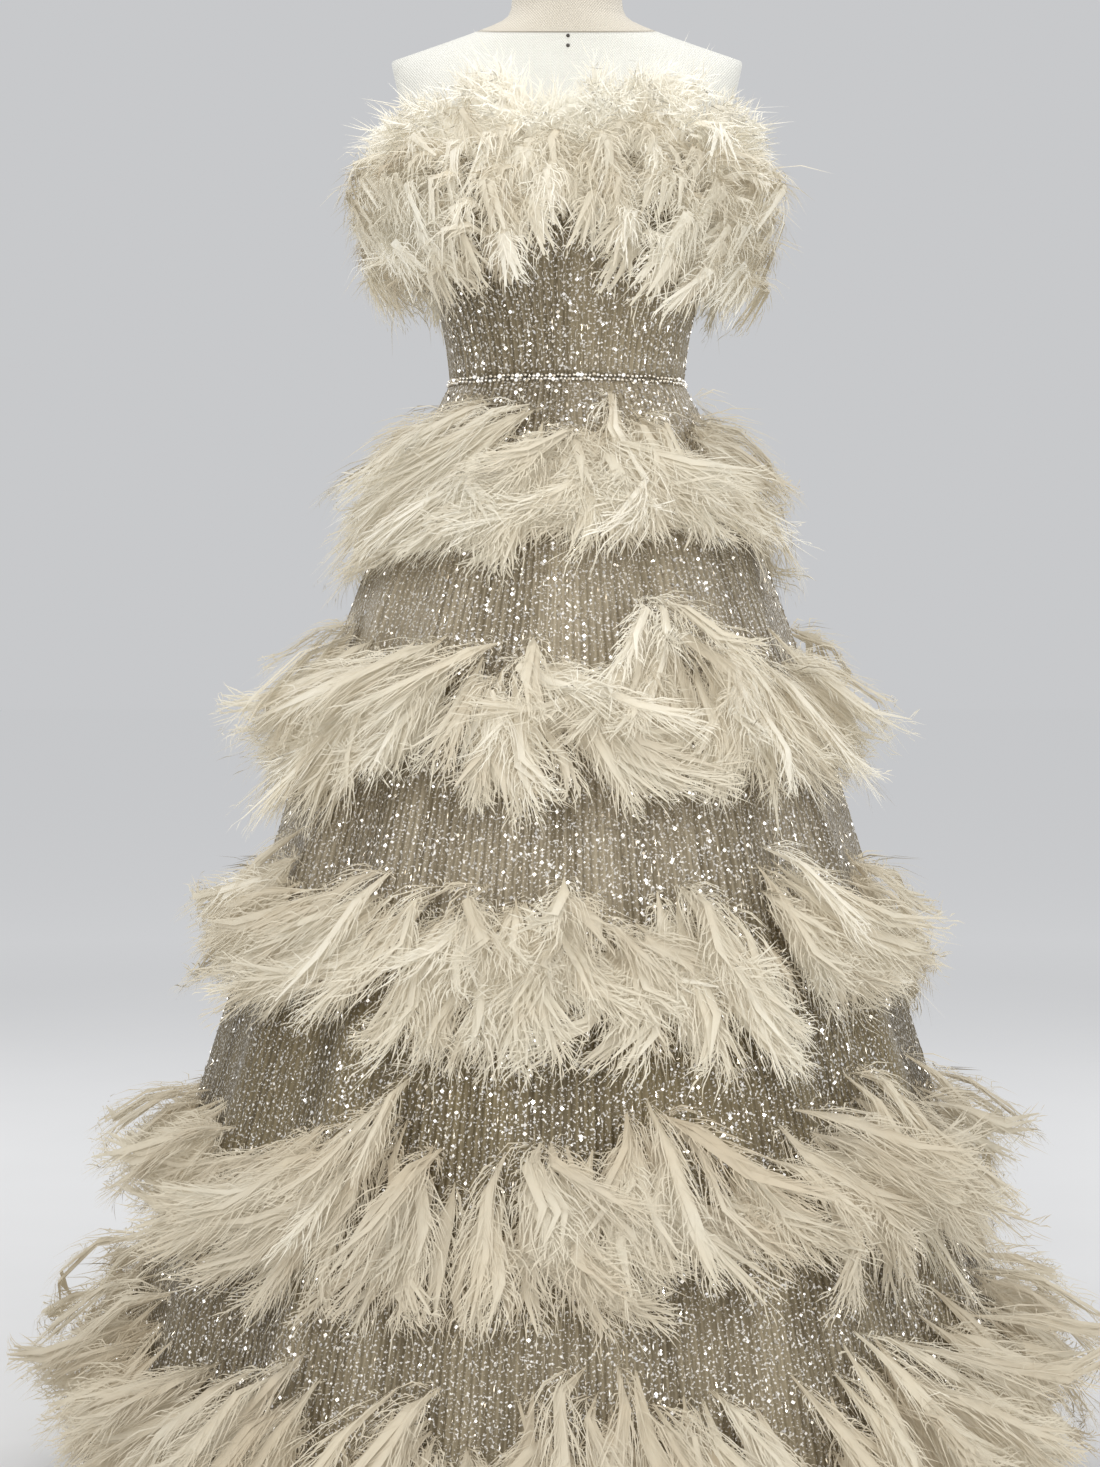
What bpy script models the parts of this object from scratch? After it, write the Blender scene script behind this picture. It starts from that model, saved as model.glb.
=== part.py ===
"""A strapless a-line gown with feather tiers, worn by a limbless dress form.

The front faces -Y and the floor is z = 0. Every cloth panel is a thin wall through rings of points,
and a feather trim is a quill tape sewn round the cloth, with feathers growing out of the tape.
"""

import math
import random
from collections import namedtuple

import bmesh
import bpy
from mathutils import Matrix, Vector

# Driving sizes, in metres.
WAIST_HEIGHT = 1.153
CLOTH_THICKNESS = 0.0018
SEAM_GAP = 0.0003
FORM_CLEARANCE = 0.0011
TAPE_CLEARANCE = 0.0008
BUST_TAPE_CLEARANCE = 0.0014

# Columns of points round the body: the skirt has twice as many as the form and the bodice.
SKIRT_COLUMNS = 72
FORM_COLUMNS = 36

Section = namedtuple("Section", "height half_width half_depth centre_y squareness")

FORM_SECTIONS = (
    Section(0.930, 0.1660, 0.1080, 0.012, 2.4),
    Section(0.965, 0.1710, 0.1140, 0.012, 2.4),
    Section(1.040, 0.1560, 0.1080, 0.008, 2.4),
    Section(1.120, 0.1240, 0.0880, 0.001, 2.2),
    Section(1.153, 0.1165, 0.0830, 0.000, 2.2),
    Section(1.200, 0.1220, 0.0880, -0.001, 2.2),
    Section(1.250, 0.1335, 0.0980, -0.003, 2.3),
    Section(1.310, 0.1470, 0.1100, -0.006, 2.4),
    Section(1.360, 0.1550, 0.1080, -0.002, 2.6),
    Section(1.405, 0.1640, 0.0940, 0.004, 3.0),
    Section(1.440, 0.1720, 0.0800, 0.008, 3.4),
    Section(1.483, 0.1815, 0.0620, 0.012, 3.8),
)
SHOULDER_SECTIONS = (
    Section(1.483, 0.1815, 0.0620, 0.012, 3.8),
    Section(1.504, 0.1250, 0.0590, 0.012, 2.8),
    Section(1.521, 0.0790, 0.0570, 0.010, 2.3),
    Section(1.531, 0.0590, 0.0560, 0.008, 2.0),
    Section(1.548, 0.0565, 0.0555, 0.006, 2.0),
    Section(1.600, 0.0555, 0.0550, 0.000, 2.0),
)
FORM_RINGS_BELOW_BODICE = (0.930, 0.965, 1.000, 1.040, 1.080, 1.120)
BODICE_RINGS = (1.1533, 1.180, 1.210, 1.240, 1.275, 1.310, 1.340)
FORM_RINGS_ABOVE_BODICE = (1.372, 1.405, 1.440, 1.465)

# The outside of the skirt over its folds.
SKIRT_SECTIONS = (
    Section(1.1530, 0.1195, 0.0862, 0.000, 2.2),
    Section(1.1000, 0.1460, 0.1160, 0.002, 2.1),
    Section(0.9520, 0.2125, 0.1900, 0.004, 2.0),
    Section(0.7050, 0.2940, 0.2790, 0.004, 2.0),
    Section(0.4840, 0.3605, 0.3500, 0.003, 2.0),
    Section(0.2620, 0.4340, 0.4260, 0.002, 2.0),
    Section(0.0000, 0.5120, 0.5080, 0.000, 2.0),
)
SKIRT_FOLDS = 12
FOLD_DEPTH_AT_HEM = 0.032
FOLD_GROWTH = 0.85
FOLD_DRIFT = 0.07
FOLD_UNEVENNESS = 0.22

# Bust cups: a soft swell on each side of the centre front.
CUP_CENTRE_X = 0.078
CUP_CENTRE_HEIGHT = 1.312
CUP_RADIUS = 0.052
CUP_DEPTH = 0.018

# The bodice's top edge: a peak over each cup, a dip between them, and lower at the back.
NECKLINE_SIDE = 1.368
NECKLINE_BACK = 1.352
NECKLINE_PEAK = 1.398
NECKLINE_PEAK_ANGLE = 36.0
NECKLINE_PEAK_SPREAD = 26.0
TOP_EDGE_EASE = 0.0022

# The stand under the skirt.
POLE_RADIUS = 0.016
FOOT_RADIUS = 0.190
FOOT_THICKNESS = 0.014
FOOT_EDGE_BEVEL = 0.004
POLE_COLLAR_RADIUS = 0.030
POLE_COLLAR_HEIGHT = 0.040
POLE_COLLAR_BEVEL = 0.003
CAP_RADIUS = 0.050
CAP_THICKNESS = 0.012
CAP_EDGE_BEVEL = 0.003

TAPE_HEIGHT = 0.014
TAPE_DEPTH = 0.007
SKIRT_RINGS_BETWEEN = 1

# A tape of feathers round the skirt. Its outer layer arches out and its inner layer hangs on the skirt:
# reach is how far a layer's tips stand out from the tape, and drop how far they hang below it.
# The counts divide the skirt's columns, so that the feathers are evenly spread.
Tier = namedtuple("Tier", "name tape_height count outer_reach outer_drop inner_reach inner_drop")
TIERS = (
    Tier("feather_tier_1", 1.128, 12, 0.122, 0.100, 0.108, 0.165),
    Tier("feather_tier_2", 0.905, 18, 0.114, 0.112, 0.082, 0.172),
    Tier("feather_tier_3", 0.680, 18, 0.104, 0.120, 0.074, 0.174),
    Tier("feather_tier_4", 0.455, 24, 0.106, 0.112, 0.080, 0.172),
    Tier("feather_tier_5", 0.230, 24, 0.126, 0.112, 0.090, 0.172),
)

# The upper bust feathers stand up from the neckline; the lower ones curl over and hang.
BUST_FEATHERS = 18
UPPER_TAPE_BELOW_NECKLINE = 0.020
UPPER_RISE = 0.080
UPPER_REACH = 0.036
LOWER_TAPE_FRONT = 1.334
LOWER_TAPE_SIDE = 1.318
LOWER_OUTER_REACH = 0.072
LOWER_OUTER_DROP = 0.030
LOWER_INNER_REACH = 0.046
LOWER_INNER_DROP = 0.104

# What a layer's feathers lean towards on their way: a share of the reach, and a height over the root.
Lean = namedtuple("Lean", "share rise")
TIER_OUTER_LEAN = Lean(0.92, 0.014)
TIER_INNER_LEAN = Lean(0.62, -0.020)
STANDING_LEAN = Lean(0.95, 0.012)
CURLING_LEAN = Lean(0.75, 0.040)
HANGING_LEAN = Lean(0.80, -0.024)

# The bust trim stands out further at the sides, and is cut short under the centre front.
SIDE_FULLNESS = 0.30
FRONT_SHORTENING = 0.78
FRONT_GAP_ANGLE = 26.0

FEATHER_THICKNESS = 0.013
REACH_CHANGE = 0.06
DROP_CHANGE = 0.08
SWEEP_SHARE = 0.22
SEED = 5

# A feather's stations: share of its length along the path, of the width that it has to itself and
# of its thickness.
Station = namedtuple("Station", "along width thickness")
FEATHER_STATIONS = (
    Station(0.16, 0.62, 0.55),
    Station(0.45, 0.88, 1.00),
    Station(0.76, 0.70, 0.75),
)

MATERIALS = {
    "form_cover": ((0.86, 0.83, 0.76), 0.75, 0.0),
    "stand_metal": ((0.55, 0.55, 0.56), 0.35, 0.9),
    "sequin_cloth": ((0.44, 0.39, 0.32), 0.35, 0.45),
    "feather": ((0.83, 0.77, 0.66), 0.85, 0.0),
}


def clear_scene():
    for old in list(bpy.data.objects):
        bpy.data.objects.remove(old)


def material(name):
    """The named Principled material, made the first time that it is asked for."""
    found = bpy.data.materials.get(name)
    if found:
        return found
    colour, roughness, metallic = MATERIALS[name]
    made = bpy.data.materials.new(name)
    made.use_nodes = True
    shader = made.node_tree.nodes["Principled BSDF"]
    shader.inputs["Base Color"].default_value = (*colour, 1.0)
    shader.inputs["Roughness"].default_value = roughness
    shader.inputs["Metallic"].default_value = metallic
    return made


def add_object(name, bm, material_name, smooth_angle=40.0):
    """Links the mesh as a node of the model, with its faces pointing out."""
    bmesh.ops.recalc_face_normals(bm, faces=bm.faces)
    mesh = bpy.data.meshes.new(name)
    bm.to_mesh(mesh)
    bm.free()
    mesh.shade_smooth()
    mesh.set_sharp_from_angle(angle=math.radians(smooth_angle))
    mesh.materials.append(material(material_name))
    made = bpy.data.objects.new(name, mesh)
    bpy.context.scene.collection.objects.link(made)
    return made


def smooth_value(sections, height, column):
    """The named column at a height, on a curve through the sections that never overshoots them."""
    rows = sorted(sections, key=lambda row: row.height)
    heights = [row.height for row in rows]
    values = [getattr(row, column) for row in rows]
    if height <= heights[0]:
        return values[0]
    if height >= heights[-1]:
        return values[-1]
    steps = [b - a for a, b in zip(heights, heights[1:])]
    slopes = [(b - a) / step for a, b, step in zip(values, values[1:], steps)]
    tangents = [slopes[0]]
    for before, after in zip(slopes, slopes[1:]):
        same_way = before * after > 0
        tangents.append(2 * before * after / (before + after) if same_way else 0.0)
    tangents.append(slopes[-1])
    i = max(n for n, start in enumerate(heights[:-1]) if height >= start)
    t = (height - heights[i]) / steps[i]
    return (
        values[i] * (1 + 2 * t) * (1 - t) ** 2
        + tangents[i] * steps[i] * t * (1 - t) ** 2
        + values[i + 1] * t * t * (3 - 2 * t)
        + tangents[i + 1] * steps[i] * t * t * (t - 1)
    )


def section_at(sections, height):
    columns = Section._fields[1:]
    return Section(height, *(smooth_value(sections, height, name) for name in columns))


def angle_of(column, columns):
    """Column 0 is the centre front, at -Y, and the columns run towards +X."""
    return -math.pi / 2 + 2 * math.pi * column / columns


def oval_point(section, angle, inset=0.0):
    """A point on a superellipse, moved in by inset."""
    power = 2 / section.squareness
    cos, sin = math.cos(angle), math.sin(angle)
    x = (section.half_width - inset) * math.copysign(abs(cos) ** power, cos)
    y = (section.half_depth - inset) * math.copysign(abs(sin) ** power, sin)
    return Vector((x, section.centre_y + y, section.height))


def cup_swell(point):
    """How far the bust cups push a point of the front forward."""
    if point.y > 0:
        return 0.0
    off_x = abs(point.x) - CUP_CENTRE_X
    off_z = point.z - CUP_CENTRE_HEIGHT
    return CUP_DEPTH * math.exp(-(off_x**2 + off_z**2) / (2 * CUP_RADIUS**2))


def form_point(height, angle, outward=0.0):
    """A point on the dress form below the shoulder corners, moved outward by a distance."""
    point = oval_point(section_at(FORM_SECTIONS, height), angle, -outward)
    point.y -= cup_swell(point)
    return point


def fold_ridge(angle):
    """From 0 in a trough to 1 on a ridge: twelve flares, unevenly spaced and unevenly deep."""
    drifted = angle + FOLD_DRIFT * math.sin(3 * angle + 0.8)
    trough = 0.5 - 0.5 * math.cos(SKIRT_FOLDS * drifted)
    return 1 - trough * (1 - FOLD_UNEVENNESS * (1 - math.sin(5 * angle + 2.0)))


def skirt_point(height, angle, inset=0.0):
    """A point on the skirt's outside, moved in by inset."""
    drop = (WAIST_HEIGHT - height) / WAIST_HEIGHT
    depth = FOLD_DEPTH_AT_HEM * max(drop, 0.0) ** FOLD_GROWTH
    section = section_at(SKIRT_SECTIONS, height)
    return oval_point(section, angle, inset + depth * (1 - fold_ridge(angle)))


def degrees_off_front(angle):
    return abs(math.degrees((angle + 3 * math.pi / 2) % (2 * math.pi) - math.pi))


def neckline_height(angle):
    """The bodice's top edge at an angle round the body."""
    off_front = degrees_off_front(angle)
    side_share = 0.5 - 0.5 * math.cos(math.radians(off_front))
    base = NECKLINE_SIDE + (NECKLINE_BACK - NECKLINE_SIDE) * max(0.0, 2 * side_share - 1)
    peak = math.exp(-(((off_front - NECKLINE_PEAK_ANGLE) / NECKLINE_PEAK_SPREAD) ** 2))
    return base + (NECKLINE_PEAK - NECKLINE_SIDE) * peak


def bridge(bm, lower, upper, closed):
    """Quads between two rows of vertices."""
    count = len(lower)
    for i in range(count if closed else count - 1):
        j = (i + 1) % count
        bm.faces.new((lower[i], lower[j], upper[j], upper[i]))


def solid_of_rings(name, rings, material_name):
    """A closed solid through closed rings, with a flat face at each end."""
    bm = bmesh.new()
    rows = [[bm.verts.new(point) for point in ring] for ring in rings]
    for lower, upper in zip(rows, rows[1:]):
        bridge(bm, lower, upper, closed=True)
    bm.faces.new(rows[0])
    bm.faces.new(rows[-1])
    return add_object(name, bm, material_name)


def shifted_edges(grid):
    """The rows with their two end columns moved in by half a seam gap, along the row."""
    moved = []
    for row in grid:
        row = [point.copy() for point in row]
        row[0] += (row[1] - row[0]).normalized() * SEAM_GAP / 2
        row[-1] += (row[-2] - row[-1]).normalized() * SEAM_GAP / 2
        moved.append(row)
    return moved


def cloth_panel(name, outer, inner, material_name):
    """A closed wall between an outer and an inner grid of points, open at both sides."""
    bm = bmesh.new()
    outside = [[bm.verts.new(point) for point in row] for row in shifted_edges(outer)]
    inside = [[bm.verts.new(point) for point in row] for row in shifted_edges(inner)]
    for grid in (outside, inside):
        for lower, upper in zip(grid, grid[1:]):
            bridge(bm, lower, upper, closed=False)
    for edge_out, edge_in in ((outside[0], inside[0]), (outside[-1], inside[-1])):
        bridge(bm, edge_in, edge_out, closed=False)
    for side in (0, -1):
        bridge(bm, [row[side] for row in inside], [row[side] for row in outside], closed=False)
    return add_object(name, bm, material_name)


def columns_of(grid, first, last):
    """The grid's columns from first to last, going round past the end."""
    count = len(grid[0])
    return [[row[i % count] for i in range(first, last + 1)] for row in grid]


def build_form():
    """The torso and neck of the dress form, in one smooth closed solid."""
    rings = []
    for height in FORM_RINGS_BELOW_BODICE + BODICE_RINGS + FORM_RINGS_ABOVE_BODICE:
        rings.append([form_point(height, angle_of(i, FORM_COLUMNS)) for i in range(FORM_COLUMNS)])
    for section in SHOULDER_SECTIONS:
        rings.append([oval_point(section, angle_of(i, FORM_COLUMNS)) for i in range(FORM_COLUMNS)])
    solid_of_rings("form_torso", rings, "form_cover")


def turned_solid(name, radius, low, high, bevel, material_name, centre_y=0.0, sides=32):
    """A short upright cylinder whose edges are bevelled."""
    bpy.ops.mesh.primitive_cylinder_add(
        vertices=sides, radius=radius, depth=high - low, location=(0, centre_y, (low + high) / 2)
    )
    made = bpy.context.object
    made.name = made.data.name = name
    if bevel:
        soften = made.modifiers.new("edge", "BEVEL")
        soften.width = bevel
        soften.segments = 2
        soften.angle_limit = math.radians(50)
    made.data.shade_smooth()
    made.data.set_sharp_from_angle(angle=math.radians(40))
    made.data.materials.append(material(material_name))
    return made


def build_stand():
    """The neck cap, and the pole, collar and round foot that carry the torso."""
    neck_top = SHOULDER_SECTIONS[-1]
    torso_bottom = FORM_SECTIONS[0]
    cap_low = neck_top.height + SEAM_GAP
    turned_solid("form_neck_cap", CAP_RADIUS, cap_low, cap_low + CAP_THICKNESS, CAP_EDGE_BEVEL, "stand_metal")
    turned_solid("form_foot", FOOT_RADIUS, 0.0, FOOT_THICKNESS, FOOT_EDGE_BEVEL, "stand_metal", sides=40)
    collar_low = FOOT_THICKNESS + SEAM_GAP
    collar_high = collar_low + POLE_COLLAR_HEIGHT
    turned_solid(
        "form_collar", POLE_COLLAR_RADIUS, collar_low, collar_high, POLE_COLLAR_BEVEL, "stand_metal", sides=24
    )
    pole_low = collar_high + SEAM_GAP
    pole_high = torso_bottom.height - SEAM_GAP
    turned_solid("form_pole", POLE_RADIUS, pole_low, pole_high, 0.0, "stand_metal", sides=20)


def bodice_grids():
    """The outer and inner points of the whole bodice, in rows from the waist up."""
    grids = []
    for outward in (FORM_CLEARANCE + CLOTH_THICKNESS, FORM_CLEARANCE):
        angles = [angle_of(i, FORM_COLUMNS) for i in range(FORM_COLUMNS)]
        rows = [[form_point(height, angle, outward) for angle in angles] for height in BODICE_RINGS]
        for share in (0.5, 1.0):
            rows.append(
                [
                    form_point(
                        BODICE_RINGS[-1] + (neckline_height(angle) - BODICE_RINGS[-1]) * share,
                        angle,
                        outward + TOP_EDGE_EASE * share,
                    )
                    for angle in angles
                ]
            )
        grids.append(rows)
    return grids


def build_bodice(outer, inner):
    """Front and two back panels, from side seam to side seam and to the centre back."""
    quarter = FORM_COLUMNS // 4
    half = FORM_COLUMNS // 2
    panels = (
        ("bodice_front", -quarter, quarter),
        ("bodice_back_left", quarter, half),
        ("bodice_back_right", half, half + quarter),
    )
    for name, first, last in panels:
        cloth_panel(name, columns_of(outer, first, last), columns_of(inner, first, last), "sequin_cloth")


def skirt_heights():
    """Rows of the skirt from the hem up: one at each tape, some between them, and the waist."""
    marks = sorted([0.0] + [tier.tape_height for tier in TIERS] + [WAIST_HEIGHT - SEAM_GAP])
    heights = []
    for low, high in zip(marks, marks[1:]):
        parts = 1 if high - low < 0.05 else SKIRT_RINGS_BETWEEN + 1
        heights += [low + (high - low) * k / parts for k in range(parts)]
    return heights + [marks[-1]]


def skirt_grids():
    """The outer and inner points of the whole skirt, in rows from the hem up."""
    angles = [angle_of(i, SKIRT_COLUMNS) for i in range(SKIRT_COLUMNS)]
    heights = skirt_heights()
    return [
        [[skirt_point(height, angle, inset) for angle in angles] for height in heights]
        for inset in (0.0, CLOTH_THICKNESS)
    ]


def build_skirt(outer, inner):
    """A front panel from side seam to side seam, and two back panels that meet at the centre back."""
    quarter = SKIRT_COLUMNS // 4
    half = SKIRT_COLUMNS // 2
    panels = (
        ("skirt_front", -quarter, quarter),
        ("skirt_back_left", quarter, half),
        ("skirt_back_right", half, half + quarter),
    )
    for name, first, last in panels:
        cloth_panel(name, columns_of(outer, first, last), columns_of(inner, first, last), "sequin_cloth")


def on_cloth(grid, column, height):
    """The point of a column of the cloth's outside at a height, between its two nearest rows."""
    points = [row[column % len(row)] for row in grid]
    for low, high in zip(points, points[1:]):
        if low.z <= height <= high.z:
            share = (height - low.z) / (high.z - low.z)
            return low.lerp(high, share)
    raise ValueError("the tape lies off the cloth")


def outward_at(grid, column, height):
    """The level direction that faces away from the cloth at a column and a height."""
    along = on_cloth(grid, column + 1, height) - on_cloth(grid, column - 1, height)
    return Vector((along.y, -along.x, 0.0)).normalized()


def grow_feather(bm, face, path, spread):
    """One feather, as a four-sided blade that grows out of a face of the tape and ends in a point.

    path gives the blade's centre from 0 at the root to 1 at the tip, and spread is the angle round
    the gown that the blade has to itself. The face's first two corners lie on its upper side.
    """
    corners = list(face.verts)
    bm.faces.remove(face)
    for station in FEATHER_STATIONS:
        centre = path(station.along)
        ahead = (path(station.along + 0.02) - path(station.along - 0.02)).normalized()
        across = Vector((-centre.y, centre.x, 0.0))
        side = (across - ahead * across.dot(ahead)).normalized()
        reach = side * across.length * spread * station.width / 2
        rise = ahead.cross(side) * FEATHER_THICKNESS / 2 * station.thickness
        ring = [
            bm.verts.new(centre - reach + rise),
            bm.verts.new(centre + reach + rise),
            bm.verts.new(centre + reach - rise),
            bm.verts.new(centre - reach - rise),
        ]
        bridge(bm, corners, ring, closed=True)
        corners = ring
    tip = bm.verts.new(path(1.0))
    for i in range(4):
        bm.faces.new((corners[i], corners[(i + 1) % 4], tip))


def curved_path(root, lean, tip):
    """A smooth path from the root to the tip that leans towards a third point on the way."""

    def at(t):
        return root * (1 - t) ** 2 + lean * 2 * t * (1 - t) + tip * t**2

    return at


def quill_tape(grid, heights, clearance):
    """A closed ring of three-sided tape on the cloth, with its middle at one height for each column.

    It returns the mesh and its two rows of outer faces: those that face up and those that face down.
    """
    bm = bmesh.new()
    top, ridge, bottom = [], [], []
    count = len(grid[0])
    for i, height in enumerate(heights):
        out = outward_at(grid, i, height)
        clear = out * clearance
        top.append(bm.verts.new(on_cloth(grid, i, height + TAPE_HEIGHT / 2) + clear))
        ridge.append(bm.verts.new(on_cloth(grid, i, height) + clear + out * TAPE_DEPTH))
        bottom.append(bm.verts.new(on_cloth(grid, i, height - TAPE_HEIGHT / 2) + clear))
    facing_up, facing_down = [], []
    for i in range(count):
        j = (i + 1) % count
        facing_up.append(bm.faces.new((top[i], top[j], ridge[j], ridge[i])))
        facing_down.append(bm.faces.new((ridge[i], ridge[j], bottom[j], bottom[i])))
        bm.faces.new((top[j], top[i], bottom[i], bottom[j]))
    return bm, facing_up, facing_down


# One layer of a tape: how many feathers it has and the column of the first, how far their tips stand
# out and hang down (a negative drop stands up), and how they lean on the way.
Layer = namedtuple("Layer", "count first reach drop lean")


def sweep_at(angle):
    """The way that the feathers are brushed at an angle, from -1 to 1, changing gently round the gown."""
    return 0.6 * math.sin(2 * angle + 0.7) + 0.4 * math.sin(5 * angle + 1.9)


def no_change(angle):
    return 1.0


def fuller_at_sides(angle):
    return 1 + SIDE_FULLNESS * math.cos(angle) ** 2


def shorter_at_front(angle):
    return 1 - FRONT_SHORTENING * math.exp(-((degrees_off_front(angle) / FRONT_GAP_ANGLE) ** 2))


def feather_layer(bm, faces, layer, chance, reach_at=no_change, drop_at=no_change):
    """Feathers that grow out of evenly spread faces of a tape, each as wide as its neighbours allow."""
    step = len(faces) // layer.count
    chosen = [faces[layer.first + k * step] for k in range(layer.count)]
    roots = [face.calc_center_median() for face in chosen]
    for k, (face, root) in enumerate(zip(chosen, roots)):
        out = Vector((root.x, root.y, 0.0)).normalized()
        angle = math.atan2(root.y, root.x)
        reach = layer.reach * reach_at(angle) * (1 + REACH_CHANGE * chance.uniform(-1, 1))
        drop = layer.drop * drop_at(angle) * (1 + DROP_CHANGE * chance.uniform(-1, 1))
        neighbours = (roots[k - 1], roots[(k + 1) % layer.count])
        spread = min(out.xy.angle(neighbour.xy) for neighbour in neighbours)
        swept = Matrix.Rotation(spread * SWEEP_SHARE * sweep_at(angle), 3, "Z") @ out
        lean = root + out * reach * layer.lean.share + Vector((0, 0, layer.lean.rise))
        tip = swept * (root.xy.length + reach) + Vector((0, 0, root.z - drop))
        grow_feather(bm, face, curved_path(root, lean, tip), spread)


def build_tiers(skirt_outer, chance):
    """Five tiers, each an arching outer layer and a hanging inner layer on one tape."""
    for tier in TIERS:
        heights = [tier.tape_height] * SKIRT_COLUMNS
        bm, facing_up, facing_down = quill_tape(skirt_outer, heights, TAPE_CLEARANCE)
        half_step = SKIRT_COLUMNS // tier.count // 2
        outer = Layer(tier.count, 0, tier.outer_reach, tier.outer_drop, TIER_OUTER_LEAN)
        inner = Layer(tier.count, half_step, tier.inner_reach, tier.inner_drop, TIER_INNER_LEAN)
        feather_layer(bm, facing_up, outer, chance)
        feather_layer(bm, facing_down, inner, chance)
        add_object(tier.name, bm, "feather")


def build_bust_feathers(bodice_outer, chance):
    """A tape along the neckline with feathers that stand up, and one below it with hanging ones."""
    angles = [angle_of(i, FORM_COLUMNS) for i in range(FORM_COLUMNS)]
    heights = [neckline_height(angle) - UPPER_TAPE_BELOW_NECKLINE for angle in angles]
    bm, facing_up, _ = quill_tape(bodice_outer, heights, BUST_TAPE_CLEARANCE)
    standing = Layer(BUST_FEATHERS, 0, UPPER_REACH, -UPPER_RISE, STANDING_LEAN)
    feather_layer(bm, facing_up, standing, chance, reach_at=fuller_at_sides)
    add_object("bust_feathers_upper", bm, "feather")

    heights = []
    for angle in angles:
        arch = math.exp(-((degrees_off_front(angle) / FRONT_GAP_ANGLE) ** 2))
        heights.append(LOWER_TAPE_SIDE + (LOWER_TAPE_FRONT - LOWER_TAPE_SIDE) * arch)
    bm, facing_up, facing_down = quill_tape(bodice_outer, heights, BUST_TAPE_CLEARANCE)
    curling = Layer(BUST_FEATHERS, 0, LOWER_OUTER_REACH, LOWER_OUTER_DROP, CURLING_LEAN)
    hanging = Layer(BUST_FEATHERS, 1, LOWER_INNER_REACH, LOWER_INNER_DROP, HANGING_LEAN)
    feather_layer(bm, facing_up, curling, chance, fuller_at_sides, shorter_at_front)
    feather_layer(bm, facing_down, hanging, chance, fuller_at_sides, shorter_at_front)
    add_object("bust_feathers_lower", bm, "feather")


def main():
    clear_scene()
    build_form()
    build_stand()
    bodice_outer, bodice_inner = bodice_grids()
    build_bodice(bodice_outer, bodice_inner)
    skirt_outer, skirt_inner = skirt_grids()
    build_skirt(skirt_outer, skirt_inner)
    chance = random.Random(SEED)
    build_bust_feathers(bodice_outer, chance)
    build_tiers(skirt_outer, chance)


main()
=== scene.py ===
"""The looks of a strapless feathered gown on a limbless dress form."""

import math

import bpy
import numpy as np
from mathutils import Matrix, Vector
from mathutils.bvhtree import BVHTree


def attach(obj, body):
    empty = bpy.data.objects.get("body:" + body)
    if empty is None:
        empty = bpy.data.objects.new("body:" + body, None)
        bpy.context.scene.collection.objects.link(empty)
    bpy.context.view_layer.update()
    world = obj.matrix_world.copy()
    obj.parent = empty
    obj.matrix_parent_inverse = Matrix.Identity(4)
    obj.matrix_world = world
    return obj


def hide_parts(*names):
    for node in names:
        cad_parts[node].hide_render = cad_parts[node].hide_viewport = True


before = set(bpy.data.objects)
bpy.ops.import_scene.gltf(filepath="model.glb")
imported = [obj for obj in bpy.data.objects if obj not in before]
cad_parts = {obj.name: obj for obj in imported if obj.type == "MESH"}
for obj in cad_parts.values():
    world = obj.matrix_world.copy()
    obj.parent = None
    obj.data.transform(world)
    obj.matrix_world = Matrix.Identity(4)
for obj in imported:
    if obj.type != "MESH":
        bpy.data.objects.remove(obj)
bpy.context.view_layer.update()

chance = np.random.default_rng(11)


# Camera, light and floor

PHOTO_WIDTH, PHOTO_HEIGHT = 1100, 1467
CAMERA_DISTANCE = 3.0
CAMERA_HEIGHT = 0.88
METRES_PER_PIXEL = 1.03e-3
CENTRE_COLUMN = 567
HORIZON_ROW = 650
SENSOR_HEIGHT = 36

WHITE = (1, 1, 1)
LIGHTS = (
    # name, place, height that it is aimed at, size, power, colour
    ("key", (-1.1, -3.3, 3.0), 0.9, (2.8, 2.4), 46, (1.0, 0.98, 0.95)),
    ("fill", (2.6, -2.4, 1.5), 0.8, (1.8, 2.0), 22, (0.97, 0.98, 1.0)),
    ("top", (0.0, -0.6, 3.6), 1.0, (1.6, 1.2), 28, WHITE),
    ("rim_left", (-2.4, 2.2, 2.2), 0.9, (0.8, 1.6), 24, WHITE),
    ("rim_right", (2.4, 2.2, 2.2), 0.9, (0.8, 1.6), 24, WHITE),
    # Small lights that the sequins and beads catch.
    ("sparkle_0", (-0.6, -3.6, 1.9), 0.8, (0.14, 0.14), 9, WHITE),
    ("sparkle_1", (0.9, -3.3, 2.3), 0.8, (0.14, 0.14), 9, WHITE),
    ("sparkle_2", (1.9, -2.6, 0.6), 0.8, (0.14, 0.14), 9, WHITE),
    ("sparkle_3", (-2.1, -2.4, 0.9), 0.8, (0.14, 0.14), 9, WHITE),
)
BACKDROP_COLOUR = (0.80, 0.81, 0.83, 1)
BACKDROP_STRENGTH = 0.72
FLOOR_SIZE = 80


def set_camera():
    """The photograph's view: level with the hips, straight at the front."""
    data = bpy.data.cameras.new("camera")
    camera = bpy.data.objects.new("camera", data)
    bpy.context.scene.collection.objects.link(camera)
    camera.location = (0, -CAMERA_DISTANCE, CAMERA_HEIGHT)
    camera.rotation_euler = (math.radians(90), 0, 0)
    data.sensor_fit = "VERTICAL"
    data.sensor_height = SENSOR_HEIGHT
    data.lens = SENSOR_HEIGHT * CAMERA_DISTANCE / (PHOTO_HEIGHT * METRES_PER_PIXEL)
    data.shift_x = (PHOTO_WIDTH / 2 - CENTRE_COLUMN) / PHOTO_HEIGHT
    data.shift_y = (HORIZON_ROW - PHOTO_HEIGHT / 2) / PHOTO_HEIGHT
    bpy.context.scene.camera = camera


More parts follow.
